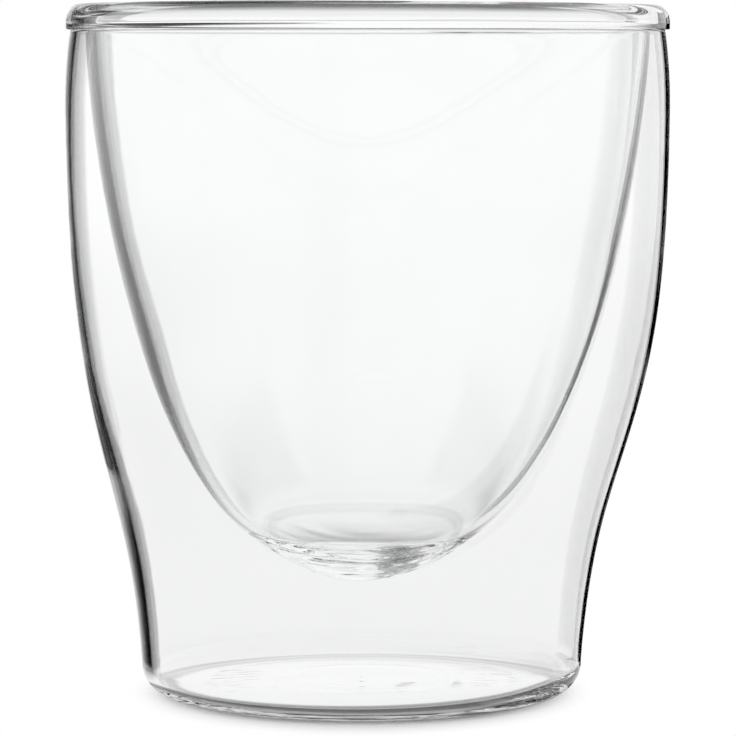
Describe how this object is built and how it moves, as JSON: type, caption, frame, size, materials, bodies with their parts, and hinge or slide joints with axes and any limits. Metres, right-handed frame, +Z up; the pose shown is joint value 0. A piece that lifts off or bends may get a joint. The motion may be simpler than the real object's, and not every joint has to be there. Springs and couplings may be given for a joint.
{
  "type": "double walled glass cup",
  "caption": "Clear double-walled glass cup: a rounded bowl hung inside an outer wall that narrows to a flat foot, joined at a fused rim bead.",
  "frame": {"origin": "centre of the foot, on the surface that the cup stands on", "axes": "+Z up along the cup's axis; the cup is round, so +X and +Y are any two level directions"},
  "size_m": [0.0874, 0.0874, 0.1],
  "materials": {
    "clear_glass": "clear fire-polished borosilicate glass"
  },
  "bodies": {
    "root": {"outer_shell": "clear_glass", "inner_bowl": "clear_glass", "rim_bead": "clear_glass", "base_seal": "clear_glass"}
  },
  "joints": []
}
